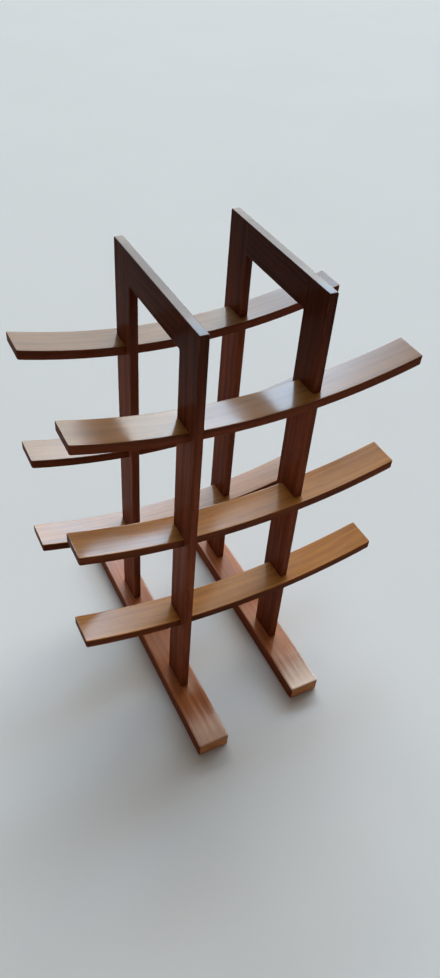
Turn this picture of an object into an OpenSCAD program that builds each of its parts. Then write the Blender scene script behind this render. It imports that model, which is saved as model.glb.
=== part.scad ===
// Three-tier plate display stand.
// Two slotted end frames stand on flat feet, one a little forward of the other, and six
// curved slats are woven through them: each slat is let into the back of the posts of one
// frame and into the front of the posts of the other.
// The origin is on the floor under the middle of the stand, X runs along the slats,
// -Y is the front and +Z is up.

/* [Overall] */
// Height of the stand from the floor
stand_h = 500; // [470:10:600]
// Distance between the middles of the two end frames
frame_spacing = 132; // [110:2:160]
// Depth of an end frame over its two posts
frame_d = 182; // [160:2:220]
// How far the left frame stands forward of the right frame
frame_stagger = 20; // [12:2:30]

/* [Posts and rails] */
// Thickness of the posts and top rails
board_t = 9; // [8:0.5:14]
// Width of a post, front to back
post_w = 36; // [30:1:44]
// Height of a top rail
rail_h = 33; // [26:1:45]

/* [Feet] */
// Length of a foot, front to back
foot_l = 342; // [260:2:400]
// Width of a foot
foot_w = 37; // [30:1:50]
// Thickness of a foot
foot_t = 18; // [14:1:24]

/* [Slats] */
// Length of a slat from end to end
slat_l = 355; // [280:5:420]
// Width of a slat
slat_w = 36; // [30:1:42]
// Thickness of a slat
slat_t = 10; // [8:0.5:12]
// Radius that the upper face of a slat is bent to
bend_r = 670; // [500:10:1200]
// Rounding of the corners at the ends of a slat
corner_r = 2; // [1:0.5:8]
// Height of the middle of the bottom slats' upper face
bottom_tier_z = 132; // [110:2:180]
// Height of the middle of the middle slats' upper face
middle_tier_z = 260; // [230:2:300]
// Height of the middle of the top slats' upper face
top_tier_z = 394; // [350:2:400]
// Gap above and below a slat in its slot
slot_gap = 0.1; // [0.05:0.05:0.3]

/* [Dowels] */
// Diameter of a dowel between a post and a top rail
dowel_d = 5; // [4:0.5:6]
// Length of a dowel
dowel_l = 30; // [20:2:34]
// Distance between the two dowels of a joint
dowel_pitch = 16; // [12:1:18]
// Chamfer at the ends of a dowel
dowel_chamfer = 0.8; // [0.4:0.2:1.2]

/* [Screws] */
// Diameter of a screw's shank
screw_d = 4; // [3:0.5:5]
// Diameter of a screw's head
head_d = 8; // [7:0.5:9]
// Length of a screw with its head
screw_l = 45; // [35:5:55]
// Distance between the two screws under a post
screw_pitch = 18; // [12:2:20]
// How far a screw's head lies below the underside of the foot
head_sink = 1; // [0.5:0.5:3]

/* [Hidden] */

// Sides of the stand and rows of posts or slats
LEFT = -1;
RIGHT = 1;
FRONT = -1;
REAR = 1;

// Facets of a bent face and of a small round
bend_fn = 720;
small_fn = 48;
// Radial gap round a dowel or a screw, and at the bottom of its hole
hole_gap = 0.05;
end_gap = 0.5;
// Overlap of a cutting shape past the face it cuts
cut = 1;

// Middle of the front or rear row of slats, and of a frame
row_y = (frame_d - post_w) / 2;
frame_x = frame_spacing / 2;
frame_y = frame_stagger / 2;
// Length of a top rail between its posts
rail_l = frame_d - 2 * post_w;
// Depth of a screw's countersunk head and size of the cross in it
head_h = (head_d - screw_d) / 2;
cross_l = head_d * 0.55;
cross_w = head_d * 0.12;
cross_depth = head_h * 0.9;

post_colour = "#5b2a1c";
rail_colour = "#552619";
foot_colour = "#8a4a2c";
slat_colour = "#9a5a38";
dowel_colour = "#d9b98a";
screw_colour = "#b8b4ac";

// ---- Slats ----

// Side view of a bent bar with upright ends, its bend centred on the origin
module bent_profile(gap) {
    intersection() {
        difference() {
            circle(bend_r + slat_t + gap, $fn = bend_fn);
            circle(bend_r - gap, $fn = bend_fn);
        }
        translate([-slat_l / 2, -2 * bend_r])
            square([slat_l, 2 * bend_r]);
    }
}

// Bar of width w along Y with its middle at the origin of its upper face
module bent_bar(w, gap = 0) {
    translate([0, 0, bend_r])
        rotate([90, 0, 0])
            linear_extrude(w, center = true)
                bent_profile(gap);
}

// Waste outside the rounding of the corner at +X and +Y of a slat
module corner_waste() {
    difference() {
        translate([0, 0, -bend_r / 2])
            cube([corner_r + cut, corner_r + cut, bend_r]);
        cylinder(r = corner_r, h = bend_r + cut, center = true, $fn = small_fn);
    }
}

module slat(row, tier_z) {
    color(slat_colour)
        translate([0, row * row_y, tier_z])
            difference() {
                bent_bar(slat_w);
                for (mx = [0, 1], my = [0, 1])
                    mirror([mx, 0, 0])
                        mirror([0, my, 0])
                            translate([slat_l / 2 - corner_r, slat_w / 2 - corner_r, 0])
                                corner_waste();
            }
}

// Slot for a slat, open towards the rear in the posts of the left frame and towards the
// front in the posts of the right frame
module slot(side, row, tier_z) {
    slot_w = 2 * post_w;
    translate([0, row * row_y + side * (slat_w - slot_w) / 2, tier_z])
        bent_bar(slot_w, slot_gap);
}

// ---- Dowels and screws ----

// Puts its children at both heights of the dowels in the joint of a post and its rail
module at_dowels(side, row) {
    for (step = [-1, 1])
        translate([
            side * frame_x,
            side * frame_y + row * rail_l / 2,
            stand_h - rail_h / 2 + step * dowel_pitch / 2
        ])
            rotate([90, 0, 0])
                children();
}

module dowel() {
    straight_l = dowel_l - 2 * dowel_chamfer;
    tip_r = dowel_d / 2 - dowel_chamfer;
    cylinder(d = dowel_d, h = straight_l, center = true, $fn = small_fn);
    for (end = [0, 1])
        mirror([0, 0, end])
            translate([0, 0, straight_l / 2])
                cylinder(r1 = dowel_d / 2, r2 = tip_r, h = dowel_chamfer, $fn = small_fn);
}

module dowels(side, row) {
    color(dowel_colour)
        at_dowels(side, row)
            dowel();
}

module dowel_holes(side, row) {
    at_dowels(side, row)
        cylinder(r = dowel_d / 2 + hole_gap, h = dowel_l + 2 * end_gap, center = true, $fn = small_fn);
}

// Puts its children at both screws under a post, with Z up from the underside of the foot
module at_screws(side, row) {
    for (step = [-1, 1])
        translate([side * frame_x, side * frame_y + row * row_y + step * screw_pitch / 2, 0])
            children();
}

// Screw with its head down, grown by gap
module screw_body(gap = 0) {
    cylinder(r = screw_d / 2 + gap, h = screw_l, $fn = small_fn);
    cylinder(r1 = head_d / 2 + gap, r2 = screw_d / 2 + gap, h = head_h, $fn = small_fn);
}

module screws(side, row) {
    color(screw_colour)
        at_screws(side, row)
            translate([0, 0, head_sink])
                difference() {
                    screw_body();
                    for (turn = [0, 90])
                        rotate([0, 0, turn])
                            cube([cross_l, cross_w, 2 * cross_depth], center = true);
                }
}

module screw_holes(side, row) {
    at_screws(side, row) {
        translate([0, 0, head_sink])
            screw_body(hole_gap);
        translate([0, 0, head_sink + screw_l - cut])
            cylinder(r = screw_d / 2 + hole_gap, h = cut + end_gap, $fn = small_fn);
        translate([0, 0, -cut])
            cylinder(r = head_d / 2 + hole_gap, h = head_sink + cut, $fn = small_fn);
    }
}

// ---- End frames ----

module post(side, row) {
    color(post_colour)
        difference() {
            translate([
                side * frame_x - board_t / 2,
                side * frame_y + row * row_y - post_w / 2,
                foot_t
            ])
                cube([board_t, post_w, stand_h - foot_t]);
            for (tier_z = [bottom_tier_z, middle_tier_z, top_tier_z])
                slot(side, row, tier_z);
            dowel_holes(side, row);
            screw_holes(side, row);
        }
}

module top_rail(side) {
    color(rail_colour)
        difference() {
            translate([
                side * frame_x - board_t / 2,
                side * frame_y - rail_l / 2,
                stand_h - rail_h
            ])
                cube([board_t, rail_l, rail_h]);
            for (row = [FRONT, REAR])
                dowel_holes(side, row);
        }
}

module foot(side) {
    color(foot_colour)
        difference() {
            translate([side * frame_x - foot_w / 2, side * frame_y - foot_l / 2, 0])
                cube([foot_w, foot_l, foot_t]);
            for (row = [FRONT, REAR])
                screw_holes(side, row);
        }
}

post(LEFT, FRONT);  // left_front_post
post(LEFT, REAR);  // left_rear_post
top_rail(LEFT);  // left_top_rail
foot(LEFT);  // left_foot
post(RIGHT, FRONT);  // right_front_post
post(RIGHT, REAR);  // right_rear_post
top_rail(RIGHT);  // right_top_rail
foot(RIGHT);  // right_foot
slat(FRONT, bottom_tier_z);  // front_bottom_slat
slat(FRONT, middle_tier_z);  // front_middle_slat
slat(FRONT, top_tier_z);  // front_top_slat
slat(REAR, bottom_tier_z);  // rear_bottom_slat
slat(REAR, middle_tier_z);  // rear_middle_slat
slat(REAR, top_tier_z);  // rear_top_slat
dowels(LEFT, FRONT);  // left_front_dowels
dowels(LEFT, REAR);  // left_rear_dowels
dowels(RIGHT, FRONT);  // right_front_dowels
dowels(RIGHT, REAR);  // right_rear_dowels
screws(LEFT, FRONT);  // left_front_screws
screws(LEFT, REAR);  // left_rear_screws
screws(RIGHT, FRONT);  // right_front_screws
screws(RIGHT, REAR);  // right_rear_screws
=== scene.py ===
"""Looks of the plate display stand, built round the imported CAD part."""
import math

import bmesh
import bpy
from mathutils import Matrix, Vector


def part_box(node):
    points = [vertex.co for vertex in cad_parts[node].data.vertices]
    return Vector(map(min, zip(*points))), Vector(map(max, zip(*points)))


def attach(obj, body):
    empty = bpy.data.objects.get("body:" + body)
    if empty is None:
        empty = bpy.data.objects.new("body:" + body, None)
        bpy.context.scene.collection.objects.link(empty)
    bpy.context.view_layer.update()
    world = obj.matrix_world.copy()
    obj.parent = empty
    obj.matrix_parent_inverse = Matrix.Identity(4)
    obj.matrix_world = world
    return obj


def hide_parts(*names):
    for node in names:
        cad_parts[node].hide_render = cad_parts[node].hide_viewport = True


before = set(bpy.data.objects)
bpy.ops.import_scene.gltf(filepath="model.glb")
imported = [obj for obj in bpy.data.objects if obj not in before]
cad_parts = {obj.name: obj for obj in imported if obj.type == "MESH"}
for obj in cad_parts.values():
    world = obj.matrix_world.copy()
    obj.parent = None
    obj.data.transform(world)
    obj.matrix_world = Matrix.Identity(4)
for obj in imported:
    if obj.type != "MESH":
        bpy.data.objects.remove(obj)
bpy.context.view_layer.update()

# ---- Sizes that the nodes' boxes don't give, in metres ----

# Thickness of a slat, the radius its upper face is bent to, and the rounding of its corners
SLAT_T = 0.010
BEND_R = 0.670
SLAT_CORNER = 0.0020
# Gap above and below a slat in its slot, and between the slat and the closed side of the slot
SLOT_GAP = 0.0001
LIP_GAP = 0.00002

# Rounding of the long edges, and the narrow band beside each that keeps a flat face's shading flat
SLAT_ARRIS = 0.0010
BOARD_ARRIS = 0.0009
FOOT_ARRIS = 0.0020
BAND = 0.0004

# Radial gap round a dowel or a screw and at the bottom of its hole, and the radii of both
HOLE_GAP = 0.00005
END_GAP = 0.0005
SCREW_R = 0.0020
DOWEL_R = 0.0025
# How far a tool for cutting a hole reaches below the foot
TOOL_OVERLAP = 0.001
# Length over which the rounding of a post's edge runs out below its joint with the rail
ARRIS_STOP = 0.0015

# Steps round an edge, round a corner, along a slat and round a hole
ARRIS_STEPS = 4
CORNER_STEPS = 6
SLAT_STEPS = 60
HOLE_STEPS = 32
# Edges sharper than this are shaded as sharp
SHARP_ANGLE = math.radians(40)

SIDES = {"left": -1, "right": 1}
ROWS = {"front": -1, "rear": 1}
TIERS = ("bottom", "middle", "top")


# ---- Mesh helpers ----

def arris_profile(half_t, arris):
    """(t, inset) pairs from the middle of one broad face, over both rounded edges, to the other."""
    side = [(half_t - arris - BAND, 0.0)]
    for step in range(ARRIS_STEPS + 1):
        angle = math.pi / 2 * step / ARRIS_STEPS
        side.append((half_t - arris + arris * math.sin(angle), arris - arris * math.cos(angle)))
    side.append((half_t, arris + BAND))
    return [(-t, inset) for t, inset in reversed(side)] + side


def slab_mesh(name, outline, half_t, arris, place, strips=False):
    """Board with rounded edges. outline(t) gives the points round it at the height t in its thickness,
    as (s, w, ds, dw), where ds and dw say how the point moves inwards over the rounding. A point at a
    square corner adds how it also moves inwards on the broad face. place turns (s, w, t) into a point of
    the stand. With strips, each broad face is a row of quads instead of one polygon."""
    bm = bmesh.new()
    rings = []
    for t, inset in arris_profile(half_t, arris):
        ring = []
        band = BAND if inset > arris else 0.0
        for s, w, ds, dw, *square in outline(t):
            band_s, band_w = square or (0.0, 0.0)
            across = Vector((s + inset * ds + band * band_s, w + inset * dw + band * band_w, t))
            ring.append(bm.verts.new(place(across)))
        rings.append(ring)
    count = len(rings[0])
    for low, high in zip(rings, rings[1:]):
        for i in range(count):
            j = (i + 1) % count
            bm.faces.new((low[i], low[j], high[j], high[i]))
    for ring in (list(reversed(rings[0])), rings[-1]):
        if strips:
            for i in range(count // 2 - 1):
                bm.faces.new((ring[i], ring[i + 1], ring[count - 2 - i], ring[count - 1 - i]))
        else:
            bm.faces.new(ring)
    bmesh.ops.recalc_face_normals(bm, faces=bm.faces)
    mesh = bpy.data.meshes.new(name)
    bm.to_mesh(mesh)
    bm.free()
    return mesh


def corner_arc(centre_s, centre_w, radius, start):
    """Outline points of a quarter round from the angle start, turning left."""
    points = []
    for step in range(CORNER_STEPS + 1):
        angle = start + math.pi / 2 * step / CORNER_STEPS
        out_s = math.cos(angle)
        out_w = math.sin(angle)
        points.append((centre_s + radius * out_s, centre_w + radius * out_w, -out_s, -out_w))
    return points


def cylinder_rings(bm, rings, to_axis):
    """Adds a closed turned solid made of rings, each a distance along the axis and a radius. to_axis
    turns two distances across the axis and one along it into a point of the stand."""
    loops = []
    for along, radius in rings:
        loop = []
        for i in range(HOLE_STEPS):
            angle = 2 * math.pi * i / HOLE_STEPS
            loop.append(bm.verts.new(to_axis(radius * math.cos(angle), radius * math.sin(angle), along)))
        loops.append(loop)
    for low, high in zip(loops, loops[1:]):
        for i in range(HOLE_STEPS):
            j = (i + 1) % HOLE_STEPS
            bm.faces.new((low[i], low[j], high[j], high[i]))
    bm.faces.new(list(reversed(loops[0])))
    bm.faces.new(loops[-1])


def cut_holes(mesh, cutters):
    """The mesh with the turned solids in cutters taken out."""
    bm = bmesh.new()
    for rings, to_axis in cutters:
        cylinder_rings(bm, rings, to_axis)
    bmesh.ops.recalc_face_normals(bm, faces=bm.faces)
    tool_mesh = bpy.data.meshes.new(mesh.name + "_tool")
    bm.to_mesh(tool_mesh)
    bm.free()
    body = bpy.data.objects.new(mesh.name + "_body", mesh)
    tool = bpy.data.objects.new(mesh.name + "_tool", tool_mesh)
    for obj in (body, tool):
        bpy.context.scene.collection.objects.link(obj)
    modifier = body.modifiers.new("holes", "BOOLEAN")
    modifier.object = tool
    modifier.operation = "DIFFERENCE"
    modifier.solver = "EXACT"
    bpy.context.view_layer.update()
    evaluated = body.evaluated_get(bpy.context.evaluated_depsgraph_get())
    result = bpy.data.meshes.new_from_object(evaluated)
    result.name = mesh.name
    for obj in (body, tool):
        bpy.data.objects.remove(obj)
    return result


def add_piece(name, mesh, to_local, material, seed):
    """Puts a finished piece in the scene in place of the CAD node called name. to_local turns a point of
    the stand into the piece's own place along, across and through its grain."""
    grain = mesh.attributes.new("grain", "FLOAT_VECTOR", "POINT")
    values = []
    for vertex in mesh.vertices:
        values.extend(to_local(vertex.co))
    grain.data.foreach_set("vector", values)
    mesh.materials.clear()
    mesh.materials.append(material)
    mesh.polygons.foreach_set("use_smooth", [True] * len(mesh.polygons))
    mesh.set_sharp_from_angle(angle=SHARP_ANGLE)
    piece = bpy.data.objects.new(name + "_wood", mesh)
    piece.pass_index = seed
    bpy.context.scene.collection.objects.link(piece)
    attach(piece, "root")
    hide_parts(name)


# ---- Node helpers ----

class Tree:
    """Short names for building a node tree."""

    def __init__(self, material):
        material.use_nodes = True
        self.tree = material.node_tree
        self.tree.nodes.clear()

    def add(self, kind, inputs=None, **settings):
        node = self.tree.nodes.new(kind)
        for key, value in settings.items():
            setattr(node, key, value)
        for key, value in (inputs or {}).items():
            socket = node.inputs[key]
            if isinstance(value, bpy.types.NodeSocket):
                self.tree.links.new(value, socket)
            else:
                socket.default_value = value
        return node

    def math(self, operation, a, b=0.0, c=0.0):
        node = self.add("ShaderNodeMath", {0: a, 1: b, 2: c}, operation=operation)
        return node.outputs[0]

    def vector(self, operation, a, b=(0.0, 0.0, 0.0)):
        node = self.add("ShaderNodeVectorMath", {0: a, 1: b}, operation=operation)
        return node.outputs[0]

    def noise(self, place, per_metre, detail=3.0, roughness=0.55):
        """Noise with about so many features per metre along each direction of place."""
        node = self.add("ShaderNodeTexNoise", {
            "Vector": self.vector("MULTIPLY", place, per_metre),
            "Scale": 1.0,
            "Detail": detail,
            "Roughness": roughness,
        })
        return node.outputs[0]

    def span(self, value, low, high, to_low=0.0, to_high=1.0):
        node = self.add(
            "ShaderNodeMapRange",
            {"Value": value, "From Min": low, "From Max": high, "To Min": to_low, "To Max": to_high},
            interpolation_type="SMOOTHSTEP",
        )
        return node.outputs[0]

    def background(self, colour, strength):
        return self.add("ShaderNodeBackground", {"Color": colour, "Strength": strength}).outputs[0]

    def bump(self, height, strength, distance):
        node = self.add("ShaderNodeBump", {"Height": height, "Strength": strength, "Distance": distance})
        return node.outputs[0]

    def mix(self, factor, a, b, blend="MIX"):
        node = self.add("ShaderNodeMix", data_type="RGBA", blend_type=blend)
        for socket, value in ((node.inputs[0], factor), (node.inputs[6], a), (node.inputs[7], b)):
            if isinstance(value, bpy.types.NodeSocket):
                self.tree.links.new(value, socket)
            else:
                socket.default_value = value
        return node.outputs[2]


# ---- Wood ----

# Features per metre along, across and through the grain
WARP_GRAIN = (5.0, 22.0, 22.0)
RING_GRAIN = (2.2, 210.0, 150.0)
FIBRE_GRAIN = (14.0, 1100.0, 1100.0)
PORE_GRAIN = (70.0, 2100.0, 2100.0)
CLOUD_GRAIN = (9.0, 34.0, 34.0)
YEAR_RING_GRAIN = (1.0, 70.0, 560.0)
SPECKLE_GRAIN = (500.0, 1500.0, 1500.0)
PATCH_GRAIN = (55.0, 160.0, 160.0)
PEEL_GRAIN = (140.0, 260.0, 260.0)
SMUDGE_GRAIN = (22.0, 40.0, 40.0)

# How far the pattern of the grain is moved from one piece to the next, in metres
PIECE_SHIFT = (1.37, 0.61, 0.43)
# How far the grain lines wander across and through the board, in metres
WARP_ACROSS = 0.020
WARP_THROUGH = 0.012

# Values of the noises between which rings, fibres, pores, clouds, end grain and worn patches fade in
RING_SPAN = (0.36, 0.66)
FIBRE_SPAN = (0.35, 0.70)
PORE_SPAN = (0.60, 0.72)
CLOUD_SPAN = (0.30, 0.72)
END_SPAN = (0.40, 0.62)
PATCH_SPAN = (0.45, 0.70)
SMUDGE_SPAN = (0.3, 0.7)
# Middle of a noise's values, and the speckle's share in the pattern of end grain
NOISE_MIDDLE = 0.5
SPECKLE_SHARE = 0.4

# Tint of the stain where it is cloudy and where it is thin
CLOUD_TINT = (0.86, 0.84, 0.82)
CLEAR_TINT = (1.12, 1.10, 1.06)
# Light and deep grain of a stain that is given as one colour, and the deep grain of an end
LIGHT_GRAIN = 1.25
DEEP_GRAIN = 0.68
END_DEEP_GRAIN = 0.66
# Darkness of a pore and lightness of a rubbed edge against the colour round them
PORE_DARK = 0.35
RUBBED_LIGHT = 1.5
# How strongly each of these covers the colour under it
FIBRE_COVER = 0.35
SIDE_COVER = 0.95
END_COVER = 0.92
PORE_COVER = 0.42
RUBBED_COVER = 0.45

# Upward parts of the normal between which a face counts as lying up, and as standing upright
LYING_SPAN = (0.35, 0.85)
UPRIGHT_SPAN = (0.85, 0.55)
# Distances from the end of a piece over which its end grain shows, and from an edge over which the
# edge is rubbed
END_DEPTH = (0.0007, 0.0003)
RUBBED_DEPTH = (0.0011, 0.0002)
# How far the painted shade on the head of a post reaches down, how far past its top the change would be
# full, and how ragged the change is
TOP_SHADE_BELOW = 0.13
TOP_SHADE_PAST = 0.02
TOP_SHADE_RAGGED = 0.06
# Length of the painted highlight on a foot's toe, how near its end it is full, how ragged it is, and its
# colour
HIGHLIGHT_L = 0.060
HIGHLIGHT_FULL = 0.002
HIGHLIGHT_RAGGED = 0.012
HIGHLIGHT_COLOUR = (0.86, 0.68, 0.55)

# Weight of the varnish on upright faces, the shine of the wood under it on those faces, and how much
# more the wood shines on faces that lie up
THIN_COAT = 0.06
UPRIGHT_SPECULAR = 0.005
LYING_SPECULAR = 0.09
# Roughness of the wood and of the varnish, and the varnish's index of refraction
WOOD_ROUGHNESS = (0.36, 0.50)
COAT_ROUGHNESS = (0.10, 0.17)
VARNISH_IOR = 1.5
# Relief of pores, fibres, rings and the varnish's own unevenness, how far the varnish follows the
# wood, and the heights in metres that a relief of 1 stands for
PORE_RELIEF = -0.6
FIBRE_RELIEF = 0.12
RING_RELIEF = 0.10
PEEL_RELIEF = 0.5
COAT_FOLLOWS = 0.25
RELIEF_STRENGTH = 0.5
WOOD_RELIEF_H = 0.00006
COAT_RELIEF_H = 0.00003


def rgba(colour):
    return (*colour, 1.0)


def scaled(colour, by):
    return [c * by for c in colour]


def grain_position(tree):
    """Place in the piece, and the same shifted by the piece's number so that no two boards match."""
    place = tree.add("ShaderNodeAttribute", attribute_name="grain").outputs["Vector"]
    number = tree.add("ShaderNodeObjectInfo").outputs["Object Index"]
    shift = tree.add("ShaderNodeCombineXYZ", {
        axis: tree.math("MULTIPLY", number, step) for axis, step in zip("XYZ", PIECE_SHIFT)
    }).outputs[0]
    return place, tree.vector("ADD", place, shift)


def edge_distances(tree, place, half):
    """Distances from the place in the piece to its nearest edge and to its end."""
    away = tree.vector("SUBTRACT", half, tree.vector("ABSOLUTE", place))
    parts = tree.add("ShaderNodeSeparateXYZ", {0: away}).outputs
    low = tree.math("MINIMUM", parts[0], parts[1])
    high = tree.math("MAXIMUM", parts[0], parts[1])
    second = tree.math("MAXIMUM", low, tree.math("MINIMUM", high, parts[2]))
    return second, parts[0]


def warped_place(tree, point):
    """The point moved a little from side to side along the board, so that the grain lines wander."""
    warp = tree.math("SUBTRACT", tree.noise(point, WARP_GRAIN, detail=2.0), NOISE_MIDDLE)
    shift = tree.add("ShaderNodeCombineXYZ", {
        "Y": tree.math("MULTIPLY", warp, WARP_ACROSS),
        "Z": tree.math("MULTIPLY", warp, WARP_THROUGH),
    }).outputs[0]
    return tree.vector("ADD", point, shift)


def face_directions(tree):
    """How far the shaded face lies up, and how far it stands upright."""
    normal = tree.add("ShaderNodeNewGeometry").outputs["Normal"]
    slope = tree.add("ShaderNodeSeparateXYZ", {0: normal}).outputs[2]
    lies_up = tree.span(slope, *LYING_SPAN)
    upright = tree.span(tree.math("ABSOLUTE", slope), *UPRIGHT_SPAN)
    return lies_up, upright


def end_grain_colour(tree, point, warped, end):
    """Colour of sawn end grain: narrow growth rings seen end on, with a fine speckle."""
    year_rings = tree.noise(warped, YEAR_RING_GRAIN, detail=2.0)
    speckle = tree.noise(point, SPECKLE_GRAIN, detail=2.0)
    lines = tree.math("MULTIPLY", year_rings, 1.0 - SPECKLE_SHARE)
    pattern = tree.math("MULTIPLY_ADD", speckle, SPECKLE_SHARE, lines)
    return tree.mix(tree.span(pattern, *END_SPAN), rgba(end), rgba(scaled(end, END_DEEP_GRAIN)))


def wood(name, half, face, dark, side, end, sheen, top_shade=None, toe_highlight=0.0):
    """Stained and varnished wood. half is the piece's half size along, across and through its grain.
    face and dark are the light and deep grain of faces that lie flat, side is the stain of upright
    faces and end that of the ends. The varnish has settled into a gloss, sheen, on the faces that lie
    up, and is thin on upright ones. A piece given a top shade colour turns to it towards the far end of
    its grain as painted shade, and a toe highlight share turns the top of its near end pale as a painted
    highlight."""
    material = bpy.data.materials.new(name)
    tree = Tree(material)
    place, point = grain_position(tree)
    to_edge, to_end = edge_distances(tree, place, half)
    along = tree.add("ShaderNodeSeparateXYZ", {0: place}).outputs[0]
    lies_up, upright = face_directions(tree)

    warped = warped_place(tree, point)
    rings = tree.span(tree.noise(warped, RING_GRAIN, roughness=0.6), *RING_SPAN)
    fibres = tree.span(tree.noise(warped, FIBRE_GRAIN, roughness=0.6), *FIBRE_SPAN)
    pores = tree.span(tree.noise(warped, PORE_GRAIN, detail=1.0), *PORE_SPAN)
    cloud = tree.noise(point, CLOUD_GRAIN)
    shade = tree.mix(tree.span(cloud, *CLOUD_SPAN), rgba(CLOUD_TINT), rgba(CLEAR_TINT))

    def grained(light, deep):
        stain = tree.mix(rings, rgba(light), rgba(deep))
        stain = tree.mix(tree.math("MULTIPLY", fibres, FIBRE_COVER), stain, rgba(deep))
        return tree.mix(1.0, stain, shade, "MULTIPLY")

    def grained_from(stain):
        return grained(scaled(stain, LIGHT_GRAIN), scaled(stain, DEEP_GRAIN))

    def covered(under, mask, cover, over):
        return tree.mix(tree.math("MULTIPLY", mask, cover), under, over)

    colour = covered(grained(face, dark), upright, SIDE_COVER, grained_from(side))
    # Painted highlight: the top of the foot's near end turns pale, ragged along the rings
    if toe_highlight:
        highlight_raggedness = tree.math("SUBTRACT", rings, NOISE_MIDDLE)
        highlight_reach = tree.math("MULTIPLY_ADD", highlight_raggedness, HIGHLIGHT_RAGGED, along)
        highlight_mask = tree.span(highlight_reach, HIGHLIGHT_L - half[0], HIGHLIGHT_FULL - half[0], 0.0, toe_highlight)
        colour = covered(colour, highlight_mask, lies_up, rgba(HIGHLIGHT_COLOUR))
    # Painted shade: the colour darkens towards the far end of the grain, the head of a post
    if top_shade:
        height = tree.math("MULTIPLY_ADD", cloud, TOP_SHADE_RAGGED, along)
        top_shade_mask = tree.span(height, half[0] - TOP_SHADE_BELOW, half[0] + TOP_SHADE_PAST)
        colour = tree.mix(top_shade_mask, colour, grained_from(top_shade))
    on_end = tree.span(to_end, *END_DEPTH)
    colour = covered(colour, on_end, END_COVER, end_grain_colour(tree, point, warped, end))
    colour = covered(colour, pores, PORE_COVER, rgba(scaled(dark, PORE_DARK)))
    patches = tree.span(tree.noise(point, PATCH_GRAIN), *PATCH_SPAN)
    rubbed = tree.math("MULTIPLY", tree.span(to_edge, *RUBBED_DEPTH), patches)
    colour = covered(colour, rubbed, RUBBED_COVER, rgba(scaled(face, RUBBED_LIGHT)))

    relief = tree.math("MULTIPLY", pores, PORE_RELIEF)
    relief = tree.math("MULTIPLY_ADD", fibres, FIBRE_RELIEF, relief)
    relief = tree.math("MULTIPLY_ADD", rings, RING_RELIEF, relief)
    peel = tree.math("MULTIPLY", tree.noise(point, PEEL_GRAIN, detail=2.0), PEEL_RELIEF)
    coat_relief = tree.math("MULTIPLY_ADD", relief, COAT_FOLLOWS, peel)
    smudge = tree.noise(point, SMUDGE_GRAIN)

    shader = tree.add("ShaderNodeBsdfPrincipled", {
        "Base Color": colour,
        "Roughness": tree.span(smudge, *SMUDGE_SPAN, *WOOD_ROUGHNESS),
        "IOR": VARNISH_IOR,
        "Specular IOR Level": tree.math("MULTIPLY_ADD", lies_up, LYING_SPECULAR, UPRIGHT_SPECULAR),
        "Normal": tree.bump(relief, RELIEF_STRENGTH, WOOD_RELIEF_H),
        "Coat Weight": tree.math("MULTIPLY_ADD", lies_up, sheen - THIN_COAT, THIN_COAT),
        "Coat Roughness": tree.span(smudge, *SMUDGE_SPAN, *COAT_ROUGHNESS),
        "Coat IOR": VARNISH_IOR,
        "Coat Normal": tree.bump(coat_relief, RELIEF_STRENGTH, COAT_RELIEF_H),
    })
    tree.add("ShaderNodeOutputMaterial", {"Surface": shader.outputs[0]})
    return material


# ---- Materials of the dowels and screws ----

# Bare beech: features per metre of its grain, which runs along Y, the noise's values between which
# its colour turns from light to dark, its roughness, and its relief with that relief's height
BEECH_GRAIN = (1400.0, 40.0, 1400.0)
BEECH_SPAN = (0.35, 0.65)
BEECH_LIGHT = (0.66, 0.47, 0.27)
BEECH_DARK = (0.48, 0.31, 0.16)
BEECH_ROUGHNESS = 0.62
BEECH_RELIEF = 0.4
BEECH_RELIEF_H = 0.00005
# Zinc plate: the same for its mottling, and its roughness where it is light and dark
ZINC_MOTTLE = (900.0, 900.0, 900.0)
ZINC_SPAN = (0.3, 0.7)
ZINC_LIGHT = (0.55, 0.54, 0.50)
ZINC_DARK = (0.40, 0.40, 0.39)
ZINC_ROUGHNESS = (0.28, 0.42)


def bare_beech():
    material = bpy.data.materials.new("bare_beech")
    tree = Tree(material)
    place = tree.add("ShaderNodeTexCoord").outputs["Object"]
    grain = tree.noise(place, BEECH_GRAIN)
    shader = tree.add("ShaderNodeBsdfPrincipled", {
        "Base Color": tree.mix(tree.span(grain, *BEECH_SPAN), rgba(BEECH_LIGHT), rgba(BEECH_DARK)),
        "Roughness": BEECH_ROUGHNESS,
        "Normal": tree.bump(grain, BEECH_RELIEF, BEECH_RELIEF_H),
    })
    tree.add("ShaderNodeOutputMaterial", {"Surface": shader.outputs[0]})
    return material


def zinc_plate():
    material = bpy.data.materials.new("zinc_plate")
    tree = Tree(material)
    place = tree.add("ShaderNodeTexCoord").outputs["Object"]
    mottle = tree.noise(place, ZINC_MOTTLE)
    shader = tree.add("ShaderNodeBsdfPrincipled", {
        "Base Color": tree.mix(tree.span(mottle, *ZINC_SPAN), rgba(ZINC_LIGHT), rgba(ZINC_DARK)),
        "Metallic": 1.0,
        "Roughness": tree.span(mottle, *ZINC_SPAN, *ZINC_ROUGHNESS),
    })
    tree.add("ShaderNodeOutputMaterial", {"Surface": shader.outputs[0]})
    return material


# ---- Slats ----

def middle_and_half(node):
    """Middle of a node's box, and half of its size."""
    low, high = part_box(node)
    return (high + low) / 2, (high - low) / 2


def slat_tier(node):
    """Height of the middle of a slat's upper face."""
    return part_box(node)[0].z + SLAT_T


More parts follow.
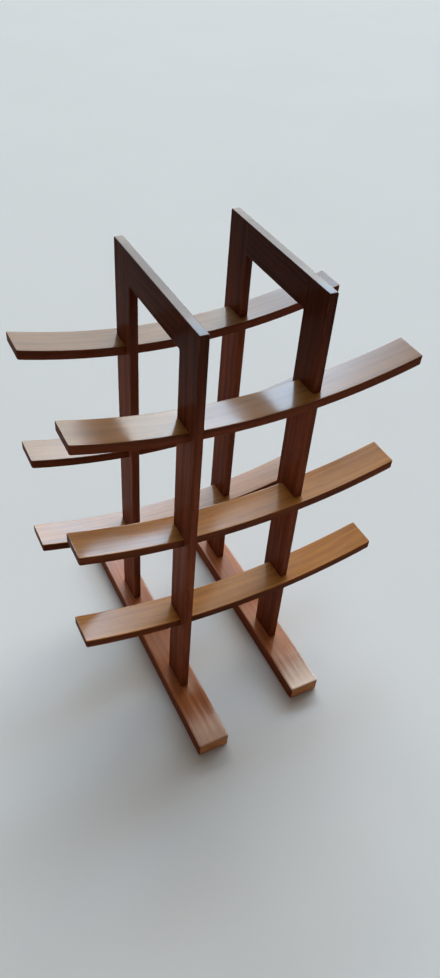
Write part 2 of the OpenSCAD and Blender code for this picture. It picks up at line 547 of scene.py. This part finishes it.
def slat_piece(node, material, seed):
    """Slat with upright ends, bent upwards from its middle."""
    centre, half = middle_and_half(node)
    bend_z = slat_tier(node) + BEND_R
    mid_r = BEND_R + SLAT_T / 2

    def outline(t):
        flat_l = half.x - SLAT_CORNER
        flat_w = half.y - SLAT_CORNER
        rear = corner_arc(flat_l, flat_w, SLAT_CORNER, 0.0)
        for step in range(1, SLAT_STEPS):
            rear.append((flat_l - 2 * flat_l * step / SLAT_STEPS, half.y, 0.0, -1.0))
        rear += corner_arc(-flat_l, flat_w, SLAT_CORNER, math.pi / 2)
        front = [(s, -w, ds, -dw) for s, w, ds, dw in reversed(rear)]
        return rear + front

    def place(p):
        radius = mid_r - p.z
        return Vector((p.x, centre.y + p.y, bend_z - math.sqrt(radius * radius - p.x * p.x)))

    def to_local(co):
        radius = math.hypot(co.x, bend_z - co.z)
        return (co.x, co.y - centre.y, mid_r - radius)

    mesh = slab_mesh(node, outline, SLAT_T / 2, SLAT_ARRIS, place, strips=True)
    add_piece(node, mesh, to_local, material, seed)


# ---- End frames ----

def slot_heights(tier_z, x):
    """Heights of the lower and upper wall of a slot at x."""
    bend_z = tier_z + BEND_R
    lower = bend_z - math.sqrt((BEND_R + SLAT_T + SLOT_GAP) ** 2 - x * x)
    upper = bend_z - math.sqrt((BEND_R - SLOT_GAP) ** 2 - x * x)
    return lower, upper


def post_piece(side_name, row_name, material, seed):
    """Post with a slot for each slat in its rear edge on the left frame and in its front edge on the
    right frame. Its rounding stops where the rail butts against it."""
    node = f"{side_name}_{row_name}_post"
    centre, half = middle_and_half(node)
    rail_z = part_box(side_name + "_top_rail")[0].z - centre.z
    slats = [f"{row_name}_{tier}_slat" for tier in TIERS]
    slat_low, slat_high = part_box(slats[0])
    open_side = -SIDES[side_name]
    rail_side = -ROWS[row_name]
    lip_y = (slat_low.y - LIP_GAP if open_side > 0 else slat_high.y + LIP_GAP) - centre.y
    corner = BOARD_ARRIS + 2 * BAND

    def edge(t, edge_side):
        """Points up the edge on edge_side (1 at +Y, -1 at -Y), bottom to top, at t in the thickness."""
        y = edge_side * half.y
        dw = -edge_side
        points = [(-half.z, y, 0.0, dw, 1.0, 0.0)]
        if edge_side == open_side:
            for slat in slats:
                lower, upper = slot_heights(slat_tier(slat), centre.x + t)
                lower -= centre.z
                upper -= centre.z
                points += [(lower, y, 0.0, dw, -1.0, 0.0), (lower, lip_y, 0.0, 0.0, -1.0, dw)]
                points += [(upper, lip_y, 0.0, 0.0, 1.0, dw), (upper, y, 0.0, dw, 1.0, 0.0)]
        if edge_side == rail_side:
            points.append((rail_z - ARRIS_STOP, y, 0.0, dw))
            points += [(rail_z, y, 0.0, 0.0, 0.0, dw), (half.z, y, -1.0, 0.0, 0.0, dw)]
        else:
            arc = corner_arc(half.z - corner, half.y - corner, corner, 0.0)
            arc.reverse()
            points += [(s, edge_side * w, ds, edge_side * dw_arc) for s, w, ds, dw_arc in arc]
        return points

    def outline(t):
        return edge(t, 1) + list(reversed(edge(t, -1)))

    def place(p):
        return Vector((centre.x + p.z, centre.y + p.y, centre.z + p.x))

    def to_local(co):
        return (co.z - centre.z, co.y - centre.y, co.x - centre.x)

    mesh = slab_mesh(node, outline, half.x, BOARD_ARRIS, place)
    mesh = cut_holes(mesh, dowel_cutters(side_name, row_name) + screw_cutters(side_name, row_name))
    add_piece(node, mesh, to_local, material, seed)


def rail_piece(side_name, material, seed):
    """Top rail, with square ends that butt against the posts."""
    node = side_name + "_top_rail"
    centre, half = middle_and_half(node)

    def outline(t):
        return [
            (half.y, -half.z, 0.0, 1.0, -1.0, 0.0), (half.y, half.z, 0.0, -1.0, -1.0, 0.0),
            (-half.y, half.z, 0.0, -1.0, 1.0, 0.0), (-half.y, -half.z, 0.0, 1.0, 1.0, 0.0),
        ]

    def place(p):
        return Vector((centre.x + p.z, centre.y + p.x, centre.z + p.y))

    def to_local(co):
        return (co.y - centre.y, co.z - centre.z, co.x - centre.x)

    mesh = slab_mesh(node, outline, half.x, BOARD_ARRIS, place)
    mesh = cut_holes(mesh, dowel_cutters(side_name, "front") + dowel_cutters(side_name, "rear"))
    add_piece(node, mesh, to_local, material, seed)


def foot_piece(side_name, material, seed):
    """Flat foot, rounded on every edge and corner."""
    node = side_name + "_foot"
    centre, half = middle_and_half(node)
    corner = FOOT_ARRIS + 2 * BAND

    def outline(t):
        points = []
        for quarter, (sign_s, sign_w) in enumerate(((1, 1), (-1, 1), (-1, -1), (1, -1))):
            points += corner_arc(
                sign_s * (half.y - corner), sign_w * (half.x - corner), corner, quarter * math.pi / 2
            )
        return points

    def place(p):
        return Vector((centre.x + p.y, centre.y + p.x, centre.z + p.z))

    def to_local(co):
        return (co.y - centre.y, co.x - centre.x, co.z - centre.z)

    mesh = slab_mesh(node, outline, half.z, FOOT_ARRIS, place)
    mesh = cut_holes(mesh, screw_cutters(side_name, "front") + screw_cutters(side_name, "rear"))
    add_piece(node, mesh, to_local, material, seed)


# ---- Holes for the dowels and screws ----

def dowel_cutters(side_name, row_name):
    """Rings and place function for the hole of each dowel between a post and its rail."""
    low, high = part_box(f"{side_name}_{row_name}_dowels")
    x = (low.x + high.x) / 2
    cutters = []
    for z in (low.z + DOWEL_R, high.z - DOWEL_R):
        rings = [(low.y - END_GAP, DOWEL_R + HOLE_GAP), (high.y + END_GAP, DOWEL_R + HOLE_GAP)]
        cutters.append((rings, lambda a, b, along, z=z: Vector((x + a, along, z + b))))
    return cutters


def screw_cutters(side_name, row_name):
    """Rings and place function for the countersunk hole of each screw under a post."""
    low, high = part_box(f"{side_name}_{row_name}_screws")
    x = (low.x + high.x) / 2
    head_r = (high.x - low.x) / 2
    cutters = []
    for y in (low.y + head_r, high.y - head_r):
        rings = [
            (-TOOL_OVERLAP, head_r + HOLE_GAP),
            (low.z, head_r + HOLE_GAP),
            (low.z + head_r - SCREW_R, SCREW_R + HOLE_GAP),
            (high.z + END_GAP, SCREW_R + HOLE_GAP),
        ]
        cutters.append((rings, lambda a, b, along, y=y: Vector((x + a, y + b, along))))
    return cutters


# ---- The stand ----

# Stains: FACE and DARK are the light and deep grain of a slat's broad faces and SIDE its edges; BOARD
# and BOARD_DARK are the posts. The next two, light and deep grain of the rails, are darker than the
# posts' stain as painted shade, and also give the posts' end grain and the painted shade on their heads
FACE = (0.490, 0.202, 0.040)
DARK = (0.355, 0.138, 0.026)
SIDE = (0.122, 0.026, 0.011)
BOARD = (0.190, 0.046, 0.018)
BOARD_DARK = (0.122, 0.027, 0.011)
SHADED_RAIL = (0.068, 0.017, 0.008)
SHADED_RAIL_DARK = (0.043, 0.011, 0.006)
FOOT = (0.430, 0.140, 0.042)
FOOT_DARK = (0.310, 0.092, 0.030)
# The feet's end grain is lighter than their tops as painted light
FOOT_END_LIT = (0.660, 0.270, 0.105)

# Gloss of the varnish on the faces of the frames and feet that lie up
FRAME_SHEEN = 0.48
FOOT_SHEEN = 0.70
# How far the top of each foot's front end is turned pale, a painted highlight
TOE_HIGHLIGHTS = {"left": 0.42, "right": 0.85}
# How much lighter or darker each slat's colour is, partly its own stain and partly painted light and
# shade, and how glossy its varnish is
SLAT_LOOKS = {
    "front_bottom_slat": (1.08, 0.85),
    "front_middle_slat": (1.00, 0.90),
    "front_top_slat": (0.57, 0.77),
    "rear_bottom_slat": (0.84, 0.76),
    "rear_middle_slat": (0.50, 0.77),
    "rear_top_slat": (0.44, 0.44),
}


def post_wood():
    half = middle_and_half("left_front_post")[1]
    grain_half = (half.z, half.y, half.x)
    return wood("post_wood_satin", grain_half, BOARD, BOARD_DARK, BOARD, SHADED_RAIL, FRAME_SHEEN, top_shade=SHADED_RAIL)


def rail_wood():
    half = middle_and_half("left_top_rail")[1]
    grain_half = (half.y, half.z, half.x)
    return wood("rail_wood_satin", grain_half, SHADED_RAIL, SHADED_RAIL_DARK, SHADED_RAIL, SHADED_RAIL_DARK, FRAME_SHEEN)


def foot_wood(side_name):
    half = middle_and_half(side_name + "_foot")[1]
    grain_half = (half.y, half.x, half.z)
    toe_highlight = TOE_HIGHLIGHTS[side_name]
    name = side_name + "_foot_wood"
    return wood(name, grain_half, FOOT, FOOT_DARK, BOARD, FOOT_END_LIT, FOOT_SHEEN, toe_highlight=toe_highlight)


def slat_wood(node):
    half = middle_and_half(node)[1]
    grain_half = (half.x, half.y, SLAT_T / 2)
    tone, sheen = SLAT_LOOKS[node]
    return wood(node + "_wood", grain_half, scaled(FACE, tone), scaled(DARK, tone), SIDE, SIDE, sheen)


def build_slats():
    """Slats, numbered from 1."""
    number = 1
    for row_name in ROWS:
        for tier in TIERS:
            node = f"{row_name}_{tier}_slat"
            slat_piece(node, slat_wood(node), number)
            number += 1
    return number


def build_frames(number):
    """Posts, rails and feet, numbered on from the slats."""
    of_posts = post_wood()
    of_rails = rail_wood()
    for side_name in SIDES:
        for row_name in ROWS:
            post_piece(side_name, row_name, of_posts, number)
            number += 1
        rail_piece(side_name, of_rails, number)
        foot_piece(side_name, foot_wood(side_name), number + 1)
        number += 2


def finish_fasteners():
    """Gives the dowels and screws, which stay as the CAD has them, their materials."""
    beech = bare_beech()
    zinc = zinc_plate()
    for side_name in SIDES:
        for row_name in ROWS:
            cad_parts[f"{side_name}_{row_name}_dowels"].data.materials[0] = beech
            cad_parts[f"{side_name}_{row_name}_screws"].data.materials[0] = zinc


# ---- Floor, light and camera ----

FLOOR_HALF = 12.0
FLOOR_SEGMENTS = 8
# How far the floor lies below the feet, so that the two faces don't flicker
FLOOR_DROP = 0.0002
# Features of the floor's colour per metre
FLOOR_CLOUDS = (3.0, 3.0, 3.0)
FLOOR_DARK = (0.66, 0.65, 0.63)
FLOOR_LIGHT = (0.70, 0.69, 0.67)
FLOOR_ROUGHNESS = 0.9

# Directions below are in degrees: azimuths turn right from +Y, elevations rise from the floor
# The opening is a doorway of light behind the stand and a little to its right
OPENING_AZIMUTH = 36.0
OPENING_STRENGTH = 9.2
# Turns from its middle at which its sides begin and are full
OPENING_SIDES = (58.0, 28.0)
# Elevations at which its top edge begins and is full, and how sharply it fades
OPENING_TOP = (49.0, 38.5)
TOP_FADE = 1.7
# Its top edge falls towards the right by this much of the turn to the right
TOP_FALL = 0.35
# Elevations over which it brightens from the dimmer ground outside, and how bright that is
OPENING_GROUND = (22.0, 33.0)
GROUND_SHARE = 0.34
# Elevations over which its colour turns from the garden's to the sky's
HORIZON = (28.5, 34.5)
SKY = (0.72, 0.98, 1.24)
GARDEN = (0.96, 1.01, 1.00)
EVENING = (1.0, 0.84, 0.66)

# Soft round lamp above the opening, with the angles from its middle at which it begins and is full
LAMP = (1.0, 0.88, 0.74)
LAMP_AZIMUTH = 45.0
LAMP_ELEVATION = 57.5
LAMP_STRENGTH = 3.2
LAMP_EDGE = (15.0, 8.0)

# Dim light of the room, low down and overhead, and the elevations in radians between them
ROOM = (0.13, 0.115, 0.105)
CEILING = (0.20, 0.18, 0.16)
ROOM_SPAN = (0.3, 1.2)
# Plain backdrop that the camera sees past the floor
BACKDROP = (0.62, 0.64, 0.66)

# The camera: where it stands, how far it turns right, looks up and rolls, and its lens
CAMERA_PLACE = (-0.3046, -0.5531, 0.8183)
CAMERA_YAW = 30.234
CAMERA_PITCH = -43.02
CAMERA_ROLL = 5.025
CAMERA_LENS_MM = 28.41
CAMERA_SENSOR_MM = 36.0
# Nearest distance that the camera shows
CAMERA_NEAR = 0.01


def make_floor():
    bm = bmesh.new()
    bmesh.ops.create_grid(bm, x_segments=FLOOR_SEGMENTS, y_segments=FLOOR_SEGMENTS, size=FLOOR_HALF)
    bmesh.ops.translate(bm, verts=bm.verts, vec=(0.0, 0.0, -FLOOR_DROP))
    mesh = bpy.data.meshes.new("floor")
    bm.to_mesh(mesh)
    bm.free()
    floor = bpy.data.objects.new("floor", mesh)
    bpy.context.scene.collection.objects.link(floor)
    material = bpy.data.materials.new("floor_grey")
    tree = Tree(material)
    place = tree.add("ShaderNodeTexCoord").outputs["Object"]
    colour = tree.mix(tree.noise(place, FLOOR_CLOUDS), rgba(FLOOR_DARK), rgba(FLOOR_LIGHT))
    shader = tree.add("ShaderNodeBsdfPrincipled", {"Base Color": colour, "Roughness": FLOOR_ROUGHNESS})
    tree.add("ShaderNodeOutputMaterial", {"Surface": shader.outputs[0]})
    mesh.materials.append(material)


def direction_to(azimuth, elevation):
    azimuth = math.radians(azimuth)
    elevation = math.radians(elevation)
    flat = math.cos(elevation)
    return (math.sin(azimuth) * flat, math.cos(azimuth) * flat, math.sin(elevation))


def in_radians(span):
    return [math.radians(angle) for angle in span]


def opening_light(tree, azimuth, elevation):
    """Colour and strength of the opening in a direction."""
    turn = tree.math("SUBTRACT", azimuth, math.radians(OPENING_AZIMUTH))
    across = tree.span(tree.math("ABSOLUTE", turn), *in_radians(OPENING_SIDES))
    level = tree.math("MULTIPLY_ADD", turn, TOP_FALL, elevation)
    under_top = tree.span(level, *in_radians(OPENING_TOP))
    over_ground = tree.span(level, *in_radians(OPENING_GROUND), GROUND_SHARE, 1.0)
    upright = tree.math("MULTIPLY", tree.math("POWER", under_top, TOP_FADE), over_ground)
    share = tree.math("MULTIPLY", across, upright)
    outside = tree.mix(tree.span(level, *in_radians(HORIZON)), rgba(GARDEN), rgba(SKY))
    tint = tree.mix(under_top, rgba(EVENING), outside)
    return tint, tree.math("MULTIPLY", share, OPENING_STRENGTH)


def lamp_strength(tree, direction):
    towards = direction_to(LAMP_AZIMUTH, LAMP_ELEVATION)
    closeness = tree.add("ShaderNodeVectorMath", {0: direction, 1: towards}, operation="DOT_PRODUCT")
    edge, full = in_radians(LAMP_EDGE)
    share = tree.span(closeness.outputs["Value"], math.cos(edge), math.cos(full))
    return tree.math("MULTIPLY", share, LAMP_STRENGTH)


def make_world():
    """Dim room with a broad, soft, bright opening low behind the stand and a small lamp above it. The
    camera itself sees a plain backdrop."""
    world = bpy.data.worlds.new("studio")
    bpy.context.scene.world = world
    tree = Tree(world)
    direction = tree.add("ShaderNodeTexCoord").outputs["Generated"]
    parts = tree.add("ShaderNodeSeparateXYZ", {0: direction}).outputs
    azimuth = tree.math("ARCTAN2", parts[0], parts[1])
    elevation = tree.math("ARCSINE", parts[2])
    room = tree.mix(tree.span(elevation, *ROOM_SPAN), rgba(ROOM), rgba(CEILING))

    light = tree.background(room, 1.0)
    for colour, strength in (
        opening_light(tree, azimuth, elevation),
        (rgba(LAMP), lamp_strength(tree, direction)),
    ):
        glow = tree.background(colour, strength)
        light = tree.add("ShaderNodeAddShader", {0: light, 1: glow}).outputs[0]
    seen = tree.add("ShaderNodeLightPath").outputs["Is Camera Ray"]
    backdrop = tree.background(rgba(BACKDROP), 1.0)
    chosen = tree.add("ShaderNodeMixShader", {0: seen, 1: light, 2: backdrop})
    tree.add("ShaderNodeOutputWorld", {"Surface": chosen.outputs[0]})


def make_camera():
    """Camera above the stand at its front left, looking down at it and a little rolled."""
    ahead = Vector(direction_to(CAMERA_YAW, CAMERA_PITCH))
    roll = math.radians(CAMERA_ROLL)
    level = ahead.cross(Vector((0.0, 0.0, 1.0))).normalized()
    above = level.cross(ahead)
    right = level * math.cos(roll) + above * math.sin(roll)
    up = above * math.cos(roll) - level * math.sin(roll)
    data = bpy.data.cameras.new("camera")
    data.sensor_fit = "AUTO"
    data.sensor_width = CAMERA_SENSOR_MM
    data.lens = CAMERA_LENS_MM
    data.clip_start = CAMERA_NEAR
    camera = bpy.data.objects.new("camera", data)
    turn = Matrix((right, up, -ahead)).transposed()
    camera.matrix_world = Matrix.Translation(CAMERA_PLACE) @ turn.to_4x4()
    bpy.context.scene.collection.objects.link(camera)
    bpy.context.scene.camera = camera


build_frames(build_slats())
finish_fasteners()
make_floor()
make_world()
make_camera()
bpy.context.scene.view_settings.view_transform = "Standard"
